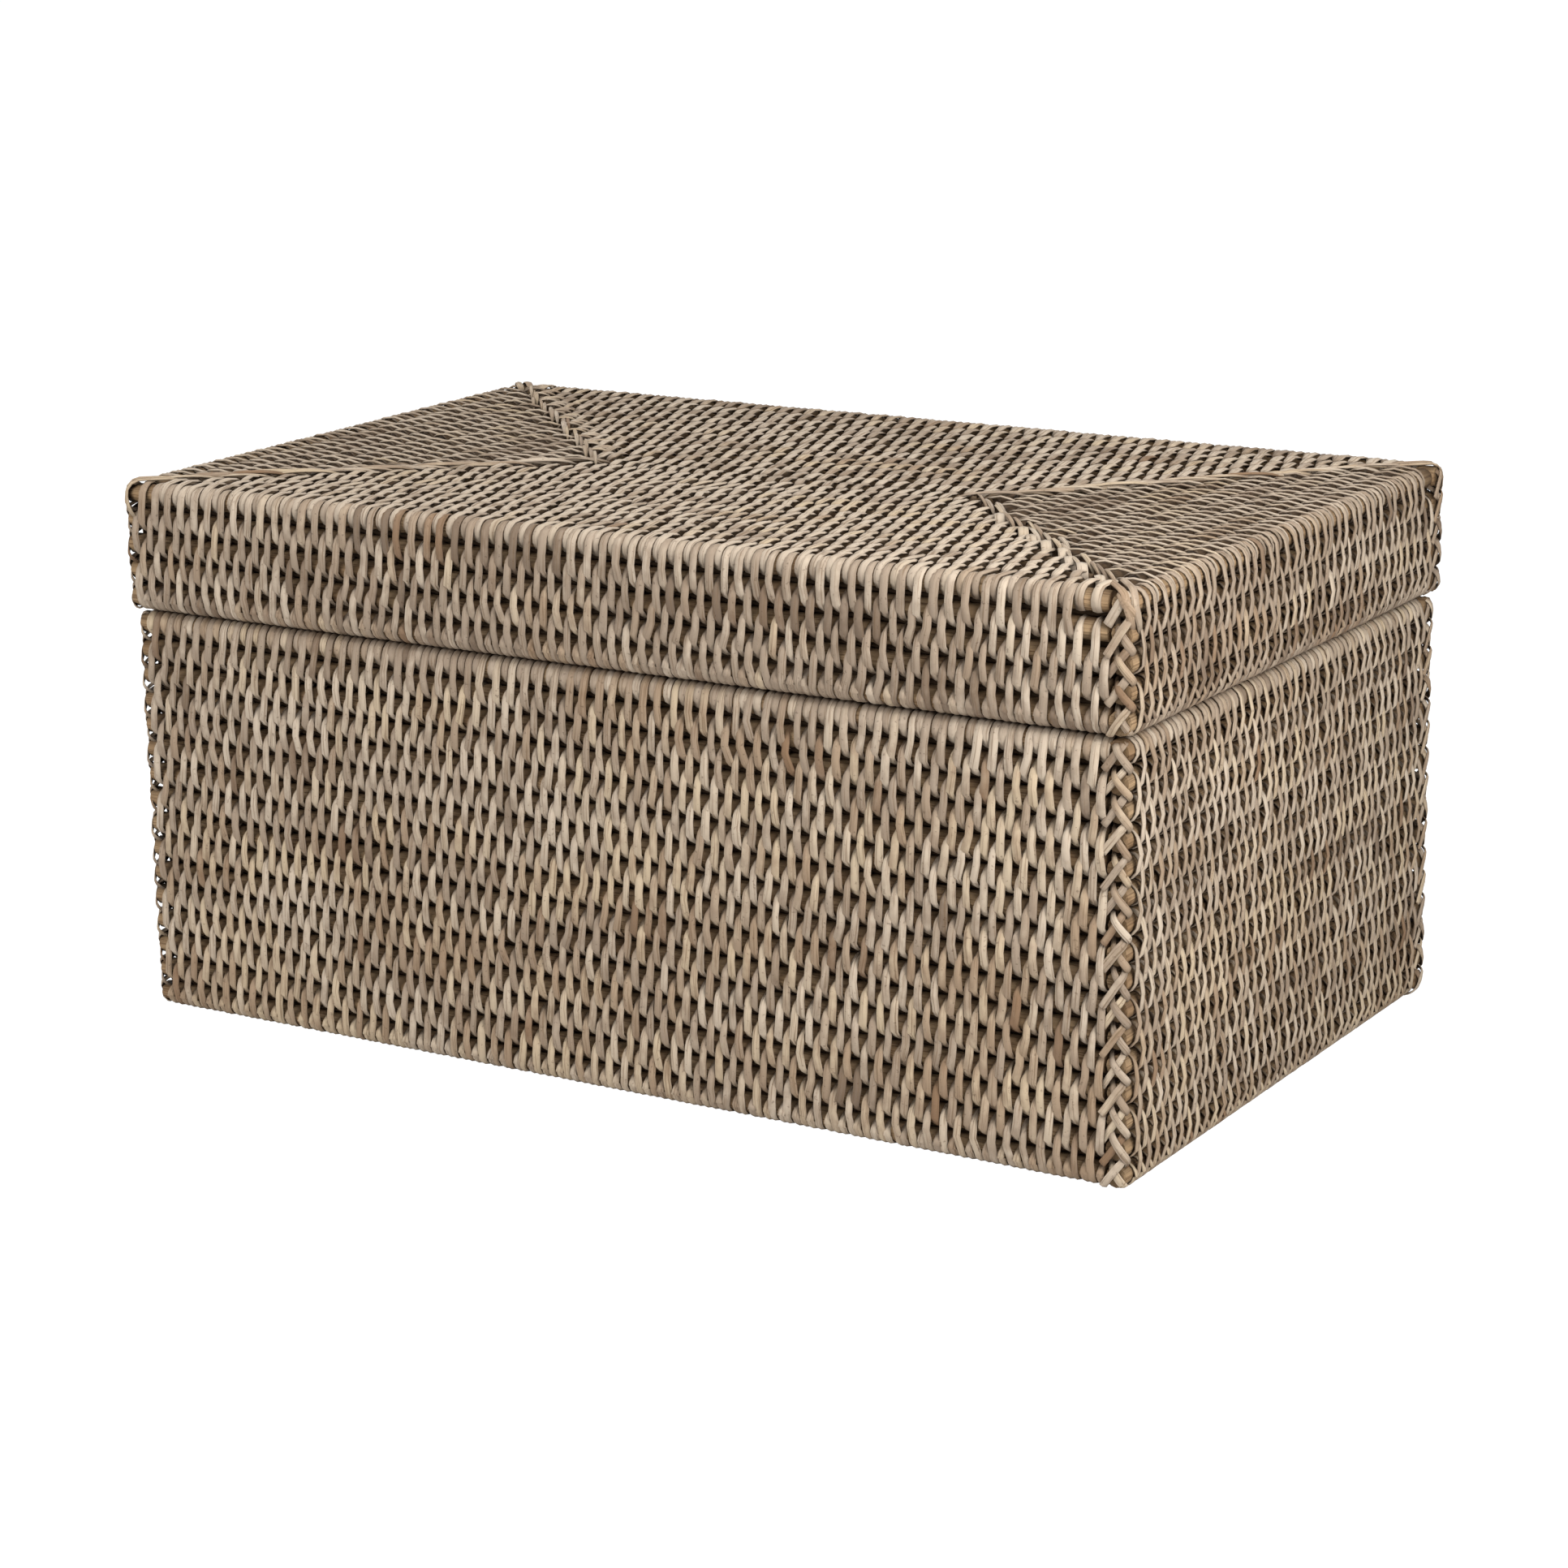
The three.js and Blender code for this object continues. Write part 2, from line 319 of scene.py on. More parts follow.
class Finish(Nodes):
    """One material, with the few readings and mixes that cane needs."""

    def __init__(self, name):
        self.material = bpy.data.materials.new(name)
        self.material.use_nodes = True
        super().__init__(self.material.node_tree)
        self.shader = self.tree.nodes["Principled BSDF"]

    def attribute(self, name):
        """A number that the mesh carries at each point."""
        return self.node("Attribute", {}, "Fac", attribute_name=name)

    def mix(self, factor, first, second):
        """Colour between first and second."""
        inputs = {"Factor": factor, MIX_FIRST: first, MIX_SECOND: second}
        return self.node("Mix", inputs, MIX_RESULT, data_type="RGBA")

    def place(self, way):
        """The place on a strip: way 0 is millimetres along it, way 1 the share round it."""
        uv = self.node("UVMap", {}, uv_map="Cane")
        return self.node("SeparateXYZ", {0: uv}, way)

    def grain(self, stretch, seed, detail):
        """Noise on the strip: stretch is steps a millimetre along, and steps a strip across."""
        spots = {0: self.place(0) * stretch[0], 1: self.place(1) * stretch[1], 2: seed}
        vector = self.node("CombineXYZ", spots)
        inputs = {"Vector": vector, "Scale": 1.0, "Detail": detail}
        return self.node("TexNoise", inputs, "Fac")

    def bump(self, height, strength, distance):
        """A normal that follows the height, up to distance in metres."""
        inputs = {"Strength": strength, "Distance": distance, "Height": height}
        return self.node("Bump", inputs)

    def finish(self, **inputs):
        """Feeds the surface: an underscore stands for a space in an input's name."""
        for key, source in inputs.items():
            self.link(self.shader.inputs[key.replace("_", " ")], source)
        return self.material


def paint(red, green, blue):
    """A colour given as it looks on screen, 0 to 255, as the linear colour a shader takes."""
    channel = np.array([red, green, blue]) / 255
    return (*np.where(channel > 0.04045, ((channel + 0.055) / 1.055) ** 2.4, channel / 12.92), 1.0)


# %% [markdown]
# ## Weathered split cane
# No two strips have the same shade: most are grey straw, some tan, a few red-brown from the bark.
# Fibres run along a strip as fine streaks. Where it dives between the rods, and on its lower flanks
# and underside, painted shade darkens it. One colour for all would look like plastic, so tone picks
# straw, dull or bark, and warmth picks grey or tan.

# %% Finish of the strips
GREY_STRAW, WARM_STRAW = paint(176, 161, 143), paint(175, 157, 132)
GREY_DULL, WARM_DULL = paint(143, 127, 110), paint(144, 123, 101)
GREY_BARK, WARM_BARK = paint(104, 88, 73), paint(118, 92, 69)
STREAK, SPECK = paint(104, 83, 61), paint(72, 52, 38)
EDGE_SHADE, WEAVE_SHADE = paint(54, 40, 29), paint(56, 42, 30)
STRAW_BLOTCH, BARK_BLOTCH = 0.7, 0.3
BARK_SHARE, STREAK_SHARE, SPECK_SHARE, DARK_SHARE = 0.85, 0.65, 0.45, 0.9
SHINE = 0.12


def split_cane():
    """Straw, dull or bark by tone, then streaks and specks, then painted shade on edges and in the
    weave.
    """
    cane = Finish("split_cane")
    tone, warmth, tuck = [cane.attribute(name) for name in ("tone", "warmth", "tuck")]
    fibres = cane.grain((0.05, 11.0), tone * 90, 4.0)
    blotch = cane.grain((0.16, 2.0), warmth * 70, 3.0)
    specks = cane.grain((0.7, 5.0), tone * 50, 2.0)
    pale = cane.mix(warmth.step(0.3, 0.75), GREY_STRAW, WARM_STRAW)
    dull = cane.mix(warmth.step(0.35, 0.8), GREY_DULL, WARM_DULL)
    bark = cane.mix(warmth.step(0.3, 0.7), GREY_BARK, WARM_BARK)
    dulled = (tone + blotch * STRAW_BLOTCH - STRAW_BLOTCH / 2).step(0.72, 0.3)
    barked = (tone + blotch * BARK_BLOTCH - BARK_BLOTCH / 2).step(0.26, 0.06)
    colour = cane.mix(dulled, pale, dull)
    colour = cane.mix(barked * BARK_SHARE, colour, bark)
    colour = cane.mix(fibres.step(0.5, 0.7) * STREAK_SHARE, colour, STREAK)
    colour = cane.mix(specks.step(0.62, 0.74) * SPECK_SHARE, colour, SPECK)
    # Painted shade on the lower flanks and underside of every strip, where neighbours shadow it.
    edge = cane.place(1).step(0.42, 0.22)
    colour = cane.mix(edge * DARK_SHARE, colour, EDGE_SHADE)
    # Painted shade where the strip lies deep in the weave, as much as tuck says.
    colour = cane.mix(tuck * DARK_SHARE, colour, WEAVE_SHADE)
    return cane.finish(
        Base_Color=colour,
        Roughness=fibres * 0.25 + 0.45,
        Specular_IOR_Level=SHINE,
        Normal=cane.bump(fibres + blotch * 0.4, 0.5, 0.0004),
    )


# %% [markdown]
# ## Bare rod
# The rods show between the strips and at the corners, where the binding stops. They are browner,
# with long grain lines. The slats have the same grain, so one finish serves both.

# %% Finish of the rods
LIGHT_PITH, DARK_PITH = paint(158, 132, 100), paint(132, 105, 76)
GRAIN_LINE, VALLEY_SHADE = paint(84, 60, 40), paint(48, 35, 24)
GRAIN_SHARE = 0.7


def bare_rod():
    """Light and dark pith in patches, with grain lines, and painted shade in the valleys."""
    rod = Finish("bare_rod")
    tone = rod.attribute("tone")
    tuck = rod.attribute("tuck")
    grain = rod.grain((0.03, 40.0), tone * 40, 3.0)
    patch = rod.grain((0.05, 2.0), tone * 20, 2.0)
    colour = rod.mix(patch.step(0.35, 0.7), LIGHT_PITH, DARK_PITH)
    colour = rod.mix(grain.step(0.48, 0.66) * GRAIN_SHARE, colour, GRAIN_LINE)
    # Painted shade towards the valleys between rods, as much as tuck says.
    colour = rod.mix(tuck * DARK_SHARE, colour, VALLEY_SHADE)
    return rod.finish(
        Base_Color=colour,
        Roughness=grain * 0.2 + 0.5,
        Specular_IOR_Level=SHINE,
        Normal=rod.bump(grain, 0.7, 0.0006),
    )


finishes = [split_cane(), bare_rod()]
print("finishes:", [material.name for material in finishes])

# %% [markdown]
# ## From arrays to a Blender mesh
# foreach_set copies whole arrays, where a loop over the faces would take minutes. The mesh
# carries three attributes for the finishes: tone and warmth, the shade of each strip, and tuck, how
# much painted shade a point gets, more the deeper it lies in the weave. The UV map holds the way
# along the strip and across it.

# %% Mesh writer
MARKS = {"tone": 2, "warmth": 3, "tuck": 4}


def add_piece(node, made_of, cane, body):
    """Writes swept cane as one object that rides on a body and stands for its solid."""
    name = f"{node}_{made_of}"
    mesh = bpy.data.meshes.new(name)
    points = np.concatenate(cane.points) * MM
    marks = np.concatenate(cane.marks)
    groups, smooth, finish = zip(*cane.faces)
    counts = [len(faces) for faces in groups]
    corners = np.concatenate([faces.ravel() for faces in groups])
    sizes = np.repeat([faces.shape[1] for faces in groups], counts)
    mesh.vertices.add(len(points))
    mesh.vertices.foreach_set("co", points.ravel())
    mesh.loops.add(len(corners))
    mesh.loops.foreach_set("vertex_index", corners)
    mesh.polygons.add(len(sizes))
    mesh.polygons.foreach_set("loop_start", np.cumsum(sizes) - sizes)
    mesh.polygons.foreach_set("use_smooth", np.concatenate(smooth))
    mesh.polygons.foreach_set("material_index", np.repeat(finish, counts))
    mesh.update(calc_edges=True)
    uv = mesh.uv_layers.new(name="Cane")
    uv.data.foreach_set("uv", marks[corners, :2].ravel())
    for mark, column in MARKS.items():
        values = np.ascontiguousarray(marks[:, column])
        mesh.attributes.new(mark, "FLOAT", "POINT").data.foreach_set("value", values)
    for material in finishes:
        mesh.materials.append(material)
    piece = bpy.data.objects.new(name, mesh)
    bpy.context.scene.collection.objects.link(piece)
    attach(piece, body)
    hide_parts(node)
    print(name, len(sizes), "faces")


# %% [markdown]
# ## Uneven as handwork
# Neighbours are alike, because one length of cane makes a dozen stitches of a row. Pure chance
# would look like confetti, so shade, lean and place drift along a row as a sum of long waves, and
# jump only a little from strip to strip.

# %% Drift and shades
WAVES = 6
TONE_UNEVEN = (0.2, 150, 0.13)
WARMTH_UNEVEN = (0.24, 170, 0.12)
WARMTH, WARMTH_FALL = 0.6, 0.0014


def drift(points, length):
    """A smooth random field: the mean of a few sine waves of random direction and phase."""
    heading = rng.normal(size=(WAVES, points.shape[-1])) * 2 * np.pi / length
    phase = rng.uniform(0, 2 * np.pi, WAVES)
    return np.sin(points @ heading.T + phase).mean(axis=-1) * 2


def uneven(places, amount, wave, spread):
    """What changes along a row: a drift of this amount and wave, with a spread of its own."""
    return amount * drift(places[:, None], wave) + rng.normal(0, spread, len(places))


def cane_shades(places, height, base_tone):
    """Tone and warmth of the strips of a row, warmer towards the foot."""
    tone = base_tone + uneven(places, *TONE_UNEVEN)
    warmth = WARMTH - WARMTH_FALL * height + uneven(places, *WARMTH_UNEVEN)
    return np.clip(np.stack([tone, warmth], axis=1), 0, 1)


def single_shades(middle, spread, count):
    """Tone and warmth of strips that come from different lengths of cane."""
    return np.clip(rng.normal(middle, spread, (count, 2)), 0, 1)


# %% [markdown]
# ## The binding stitch
# Seen along the rods, a strip follows arcs round the two rods that it binds. An array modifier
# could copy one stitch, but then all would be alike. Instead a table holds the steps, and each
# strip follows it with its own bow, lean, twist and width. A step names the rod (0 the first, 1
# the second, one half between them), the angle round that rod from straight out towards the next,
# the share of the width, how much painted shade it gets where it lies deep in the weave, its
# twist, and how far it bows out.

# %% A row of stitches
STRIP_STEP = 6.85
FIRST_STRIP = 6.5
LAST_STRIP = 11.0
PLACE_UNEVEN = (0.3, 90, 0.2)
LEAN_UNEVEN = (0.4, 160, 0.25)
BOW_SPREAD = (0.5, 1.4)
LOOSE = 0.15
TWIST, TWIST_SPREAD = 0.9, (0.6, 1.2)
WIDTH_SPREAD = 0.07
INSIDE_FROM, INSIDE_SPAN = 105, 150


def half_step(row):
    """How far a strip moves on inside, to and fro on neighbouring rows."""
    return STRIP_STEP * (0.5 if row % 2 == 0 else -0.5)


def columns_for(side, row):
    """Places of the strips along a row, half a step apart on neighbouring rows."""
    first = -side.half_length + FIRST_STRIP + STRIP_STEP * 0.5 * (row % 2)
    places = np.arange(first, side.half_length - LAST_STRIP, STRIP_STEP)
    return places + uneven(places, *PLACE_UNEVEN)


def stitch_row(cane, side, columns, rods, radii, table, shift):
    """One row of stitches: arcs round two rods, repeated at every column.

    Across the rods a point is rod + radius * (outward * cos + onward * sin), onward to the
    next rod. Along them the strip leans a little, and inside it moves on by shift to where the
    next row starts.
    """
    which, degrees, wide, tuck, twist, lift = np.array(table, float).T
    upper, lower = rods
    normal = swing(np.radians(degrees), side.outward, unit(lower - upper))
    count = len(columns)
    bow = side.bow * rng.uniform(*BOW_SPREAD, (count, 1)) * lift + rng.uniform(0, LOOSE, (count, 1))
    radius = radii[0] + (radii[1] - radii[0]) * which - STRIP_THICK / 2 + bow
    across = upper + which[:, None] * (lower - upper) + radius[..., None] * normal
    second = which == 1
    back = np.clip((degrees - INSIDE_FROM) / INSIDE_SPAN, 0, 1) * second * (shift != 0)
    sway = np.clip((degrees + 180 * second) / 90 - 1, -1, 1) * (1 - 2 * back)
    lean = side.lean + uneven(columns, *LEAN_UNEVEN)
    along = columns[:, None] + lean[:, None] * sway + shift * back
    path = side.place(along, across)
    way = -1.0 if shift < 0 else 1.0
    turned = way * TWIST * twist * rng.uniform(*TWIST_SPREAD, (count, 1))
    facing = side.turn(turned, normal)
    width = side.strip * rng.normal(1, WIDTH_SPREAD, (count, 1)) * wide
    shades = cane_shades(columns, (upper + lower)[1] / 2, side.tone)
    cane.strips(path, facing, width, shades, tuck, side.edge)


# %% [markdown]
# ## Rods
# Rattan is never quite straight and swells at its joints, so a rod is swept along a line that
# wanders a little. Behind each pair of rods lies a thin core cane. On the real box the stitches
# close these slits from inside; a cane that touches both rods shuts out the light as well and
# costs little. Its colour is painted fully dark, as painted shade behind the rods.

# %% Rods and core canes
ROD_STEPS = 25
ROD_WANDER, WANDER_WAVE = 0.15, 150
ROD_SWELL, SWELL_WAVE = 0.03, 60
SEED_APART = 37.0
CORE_DEPTH = 2.1


def straight_rods(cane, side, rods, ends, radii, tuck=0.0):
    """Rods from end to end at points across the side, each with a slight wander and swelling."""
    along = ends[:, :1] + (ends[:, 1:] - ends[:, :1]) * np.linspace(0, 1, ROD_STEPS)
    apart = np.broadcast_to(SEED_APART * np.arange(len(rods))[:, None], along.shape)
    seeds = np.stack([along, apart], axis=-1)
    wander = [drift(seeds, WANDER_WAVE), drift(seeds, WANDER_WAVE)]
    path = side.place(along, rods[:, None] + ROD_WANDER * np.stack(wander, axis=-1))
    normal = side.outward[0] * side.out + side.outward[1] * UP
    swell = 1 + ROD_SWELL * drift(seeds, SWELL_WAVE)
    cane.rods(path, normal, np.reshape(radii, (-1, 1)) * swell, tuck)


def core_canes(cane, side, rods, ends):
    """Thin canes behind each pair of rods: radius = distance to a rod's middle - rod radius."""
    middles = (rods[:-1] + rods[1:]) / 2 - CORE_DEPTH * side.outward
    apart = np.linalg.norm(np.diff(rods, axis=0), axis=1)
    shorter = np.where(np.abs(ends[:-1]) < np.abs(ends[1:]), ends[:-1], ends[1:])
    radius = np.hypot(apart / 2, CORE_DEPTH) - ROD
    # The core canes get full painted shade: they stand where there is only shadow.
    straight_rods(cane, side, middles, shorter, radius, 1.0)


# %% [markdown]
# ## Walls: the stitch
# On a wall a strip comes out of the weave narrow and twisted, crosses to the next rod and goes in
# again flat and square. The top row starts on the rim or on the lid's edge rod, and the last row
# ends under the foot. Between two long stitches a short one goes round the end rod alone, so rim
# and foot are wrapped closely.

# %% Stitch tables of the walls
# The fourth number of a step, tuck, is painted shade where the strip lies deep in the weave.
COMES_OUT = [
    (0, -105, 0.4, 0.9, 1, 0),
    (0, -62, 0.56, 0.5, 0.7, -0.15),
    (0, -34, 0.68, 0.25, 0.5, -0.05),
    (0, -14, 0.8, 0.08, 0.25, 0.2),
    (0, 6, 0.92, 0, 0.1, 0.5),
]
CROSSES = [(0.5, 0, 0.95, 0, 0, 1)]
GOES_IN = [
    (1, 10, 1, 0, 0, 0.55),
    (1, 42, 1, 0, 0, 0.1),
    (1, 72, 1, 0.2, 0, 0),
    (1, 100, 0.95, 0.8, 0, 0),
]
INSIDE = [
    (1, 150, 0.9, 0.5, 0, 0),
    (1, 200, 0.9, 0.4, 0, 0),
    (1, 255, 0.5, 0.95, 0, 0),
]
FROM_EDGE = [
    (0, -165, 0.35, 0.9, 0.8, 0),
    (0, -135, 0.45, 0.7, 0.6, 0),
    (0, -108, 0.75, 0.35, 0.3, 0.05),
    (0, -78, 0.95, 0.05, 0.1, 0.1),
    (0, -45, 1.02, 0, 0, 0.1),
    (0, -15, 1, 0, 0, 0.3),
] + CROSSES + GOES_IN + INSIDE
# Painted shade round an end rod: darkest in the groove between lid and base and beneath the foot.
ROUND_END = ((200, 0.3), (160, 0.6), (120, 0.85), (90, 0.85), (62, 0.4), (35, 0.05), (12, 0.0))


def round_end(rod, way):
    """Steps round an end rod, each an angle and its painted shade: way is -1 over it and 1 under it.
    """
    return [(rod, way * angle, 1, dust, 0, 0) for angle, dust in ROUND_END][::-way]


WOVEN = COMES_OUT + CROSSES + GOES_IN + INSIDE
FROM_RIM = round_end(0, -1) + CROSSES + GOES_IN + INSIDE
TO_FOOT = COMES_OUT + CROSSES + round_end(1, 1)
ONE_UNDER = COMES_OUT + round_end(0, 1)
ONE_OVER = round_end(0, -1) + [
    (0, 12, 1, 0, 0, 0),
    (0, 45, 1, 0.05, 0, 0),
    (0, 75, 1, 0.45, 0, 0),
    (0, 105, 1, 0.9, 0, 0),
]
print("steps of a stitch on a wall:", len(WOVEN))

# %% [markdown]
# ## Walls: the weave
# A wall piece holds its middle rods and every stitch that touches them; the rods at its top and
# foot are pieces of their own. At a corner the rods of one wall run through and those of the next
# butt against them. The lid's edge rod is bare at one end, as on the photographed box.

# %% Walls of the base and lid
CORE_START = 5.0
BARE_END = 21.0
ROD_SHORT = 0.8
START_SPREAD = 0.6
BUTT_GAP = (0.2, 0.8)
DOWN = np.array([0.0, -1.0])


def wall_rods(cane, side, first, last):
    """Rods that run through one corner and butt against the next wall's rods at the other."""
    rods = side.rods[first:last]
    start = ROD_SHORT - side.half_length + rng.uniform(0, START_SPREAD, len(rods))
    stop = side.half_length - 2 * WRAPPED - rng.uniform(*BUTT_GAP, len(rods))
    bare = side.bound[first:last] - STRIP_THICK - SLACK
    straight_rods(cane, side, rods, np.stack([start, stop], axis=1), bare)


def weave_wall(side):
    """All stitches over two rods, from the top pair down to the foot pair."""
    cane = Cane()
    last = len(side.rods) - 2
    wall_rods(cane, side, 1, last + 1)
    cores = np.array([CORE_START - side.half_length, side.half_length - 2 * RIM_WRAPPED])
    core_canes(cane, side, side.rods, np.tile(cores, (last + 2, 1)))
    for row in range(last + 1):
        columns = columns_for(side, row + 1)
        if side.half == "lid" and row == 0:
            columns = columns[columns < side.half_length - BARE_END]
        first = FROM_RIM if side.half == "base" else FROM_EDGE
        table = first if row == 0 else TO_FOOT if row == last else WOVEN
        shift = 0 if row == last else half_step(row + 1)
        pair = slice(row, row + 2)
        stitch_row(cane, side, columns, side.rods[pair], side.bound[pair], table, shift)
    add_piece(f"{side.half}_wall_{side.name}", "weave", cane, side.half)


def wrap_end_rod(side, part, row, table):
    """An end rod and the short stitches that go round it alone."""
    cane = Cane()
    wall_rods(cane, side, row, row + 1)
    if table:
        columns = columns_for(side, 0 if row == 0 else row + 1)
        rod = side.rods[row]
        bound = side.bound[[row, row]]
        stitch_row(cane, side, columns, (rod, rod + DOWN), bound, table, 0)
    add_piece(f"{side.half}_{part}_{side.name}", "wrapped", cane, side.half)


for (half, name), side in sides.items():
    lower, upper, rows = PARTS[half]
    weave_wall(side)
    wrap_end_rod(side, upper, 0, ONE_OVER if half == "base" else None)
    wrap_end_rod(side, lower, rows - 1, ONE_UNDER)

# %% [markdown]
# ## Top of the lid: four panels
# The lid's top carries on from its walls: the same rods run round the box in smaller and smaller
# frames and meet on diagonals. So the long panels have four corners and the end panels three. A
# top panel is a side again, its rods in a row inwards instead of downwards. The whole top sags a
# little. On the end panels the strips are narrow, with painted shade on their edges and on the rods
# below. Each panel's tone is set on its own as painted light and shade.

# %% Top sides
TOP_ROWS = 12
DISH = 3.0
# Tone per panel is painted light and shade, and so is the darkening of the rods and of the strips'
# edges.
TOP_CANE = {
    "front": dict(strip=3.35, bow=0.9, lean=0.1, tone=0.7, dust=0.7, edge=0.0),
    "right": dict(strip=1.65, bow=1.0, lean=-0.3, tone=0.66, dust=1.0, edge=1.0),
    "back": dict(strip=3.95, bow=1.1, lean=0.1, tone=0.56, dust=0.5, edge=0.0),
    "left": dict(strip=2.0, bow=1.0, lean=0.0, tone=0.7, dust=1.0, edge=0.9),
}


def dish(path):
    """The top sags a little in the middle: a product of two parabolas, 0 at the edges."""
    long_half = sides["lid", "front"].half_length
    short_half = sides["lid", "right"].half_length
    sag = (1 - (path[..., 0] / long_half) ** 2) * (1 - (path[..., 1] / short_half) ** 2)
    return path - DISH * np.clip(sag, 0, 1)[..., None] * UP


class TopSide(Side):
    """A side of the lid whose rods step inwards from the edge rod along the top."""

    def __init__(self, name):
        super().__init__("lid", name)
        self.outward = np.array([0.0, 1.0])
        ridge = sides["lid", "front"].reach
        rows = np.arange(TOP_ROWS + 2)
        self.pitch = (ridge - WRAPPED) / (TOP_ROWS + 0.5)
        inward = self.reach - WRAPPED - self.pitch * rows
        self.rods = np.stack([inward, np.full_like(inward, self.heights[0])], axis=1)
        self.bound = np.full_like(inward, WRAPPED)
        self.halves = self.half_length - (self.reach - inward)
        vars(self).update(TOP_CANE[name])

    def place(self, along, across):
        """Points of the flat side, let down by the sag."""
        return dish(self.turn(along, across))


tops = {name: TopSide(name) for name in FACING}
print("from rod to rod on the top:", round(tops["front"].pitch, 2), "mm")

# %% [markdown]
# ## Top of the lid: the weave
# Seen from above, each stitch is a leaf: a thin stalk, a broad crossing and a narrow tip. It
# starts on the inner rod and goes outwards. The outermost row runs over the edge rod and down,
# between the wall's own strips.

# %% Top panels
HIP_CLEAR = 3.0
HIP_OVERLAP = 0.35
ROD_CLEAR = 2.5
SHORTEST_ROD = 6.0
# Here too the fourth number, tuck, is painted shade where the strip dives into the weave.
LEAF = [
    (0, -80, 0.3, 0.95, 0, -0.3),
    (0, -45, 0.3, 0.95, 0, -0.3),
    (0, -20, 0.4, 0.85, 0, -0.1),
    (0, 0, 0.62, 0.4, 0, 0.3),
    (0, 18, 0.9, 0, 0, 0.7),
    (0.5, 0, 1.05, 0, 0, 1),
]
OVER_TOP = LEAF + [
    (1, -10, 1, 0, 0, 0.65),
    (1, 8, 0.8, 0.25, 0, 0.25),
    (1, 28, 0.55, 0.8, 0, -0.1),
    (1, 50, 0.45, 0.95, 0, -0.3),
    (1, 80, 0.35, 0.95, 0, 0),
    (1, 115, 0.5, 0.95, 0, 0),
] + INSIDE
OVER_EDGE = LEAF + [
    (1, 8, 1, 0.02, 0, 0.4),
    (1, 32, 1, 0.12, 0, 0.1),
    (1, 56, 1.05, 0.2, 0, -0.1),
    (1, 80, 1.05, 0.25, 0, -0.1),
    (1, 105, 1.05, 0.3, 0, -0.1),
    (1, 140, 1, 0.55, 0, 0),
    (1, 200, 0.9, 0.9, 0, 0),
]


def weave_top(side):
    """Rods between the diagonals, and a row of stitches from each rod to the one outside it.

    The front panel has one row more than the others, which closes the ridge.
    """
    cane = Cane()
    keep = np.flatnonzero(side.halves > SHORTEST_ROD)[1:TOP_ROWS + 1]
    ends = (side.halves[:, None] - ROD_CLEAR) * np.array([-1.0, 1.0])
    # The panel's rods get painted shade, more on the end panels.
    straight_rods(cane, side, side.rods[keep], ends[keep], ROD, side.dust)
    span = np.append(0, keep)
    core_canes(cane, side, side.rods[span], ends[span])
    last = TOP_ROWS - (side.name != "front")
    for row in range(last + 1):
        reach = side.halves[row + 1] + HIP_OVERLAP * side.pitch - HIP_CLEAR
        columns = columns_for(side, row)
        columns = columns[np.abs(columns) < reach]
        if len(columns) == 0:
            continue
        pair = [row + 1, row]
        table = OVER_TOP if row else OVER_EDGE
        shift = half_step(row) if row else 0
        stitch_row(cane, side, columns, side.rods[pair], side.bound[pair], table, shift)
    add_piece(f"lid_top_{side.name}", "weave", cane, "lid")


for side in tops.values():
    weave_top(side)

# %% [markdown]
# ## Floor
# The floor is hidden until the lid comes off, so its make is a guess: long rods bound side by
# side, like a wall that lies flat. It is a side too, one that faces down.

# %% Floor panel
FLOOR_RODS = 23
FLOOR_END = 0.5
# Here too the fourth number, tuck, is painted shade where the strip dives into the weave.
FLOOR_TABLE = [
    (0, -105, 0.6, 0.9, 0.5, 0),
    (0, -50, 0.8, 0.5, 0.2, 0),
    (0.5, 0, 1, 0, 0, 0),
    (1, 50, 1, 0.2, 0, 0),
    (1, 105, 1, 0.8, 0, 0),
    (1, 150, 1, 0.3, 0, 0),
    (1, 195, 1, 0.2, 0, 0),
    (1, 255, 0.6, 0.9, 0, 0),
]


class FloorSide(Side):
    """The floor as a side that faces down, its rods stepping from the back to the front."""

    def __init__(self):
        super().__init__("base", "front")
        self.outward = DOWN
        low, high = box_mm("base_floor")
        self.pitch = (high[1] - low[1]) / FLOOR_RODS
        middles = (np.arange(FLOOR_RODS) - (FLOOR_RODS - 1) / 2) * self.pitch
        self.rods = np.stack([middles, np.full_like(middles, (low[2] + high[2]) / 2)], axis=1)
        self.bound = np.full_like(middles, WRAPPED)
        self.half_length = high[0]


def weave_floor():
    """Rods side by side and a row of stitches over each pair, seen from below."""
    side = FloorSide()
    cane = Cane()
    ends = (side.half_length - FLOOR_END) * np.array([-1.0, 1.0])
    straight_rods(cane, side, side.rods, np.tile(ends, (FLOOR_RODS, 1)), ROD)
    for row in range(FLOOR_RODS - 1):
        columns = columns_for(side, row)
        pair = slice(row, row + 2)
        shift = half_step(row + 1)
        stitch_row(cane, side, columns, side.rods[pair], side.bound[pair], FLOOR_TABLE, shift)
    add_piece("base_floor", "weave", cane, "base")


weave_floor()

# %% [markdown]
# ## Corner lacing
# At a corner, crossed strips lash each pair of rods. One comes out between two rods, crosses the
# corner's edge on its way down and goes in again; the other slants the opposite way and ends in a
# square cut on the wall. A curve for each would be slow to draw. Unrolled, the corner is flat and
# a strip is a straight line, which is the easiest way to say where it goes.

# %% Corner lacing
CORNERS = {"front": "front_right", "right": "back_right", "back": "back_left", "left": "front_left"}
CORNER_ROUND = 4.5
LACE_WIDTH = 3.0
LACE_STEPS = 15
LACE_DIP, LACE_DIVE, LACE_NARROW = 0.3, 5.0, 0.3
LACE_OVER = 0.7
LACE_DARK = 0.05
DEEP = 0.9
LACE_HEIGHT, LACE_LENGTHS = 60.0, 900
FALLING = ((-7.5, 0.65), (3.0, -0.8))
RISING = ((-9.5, -0.6), (0.8, 0.75))


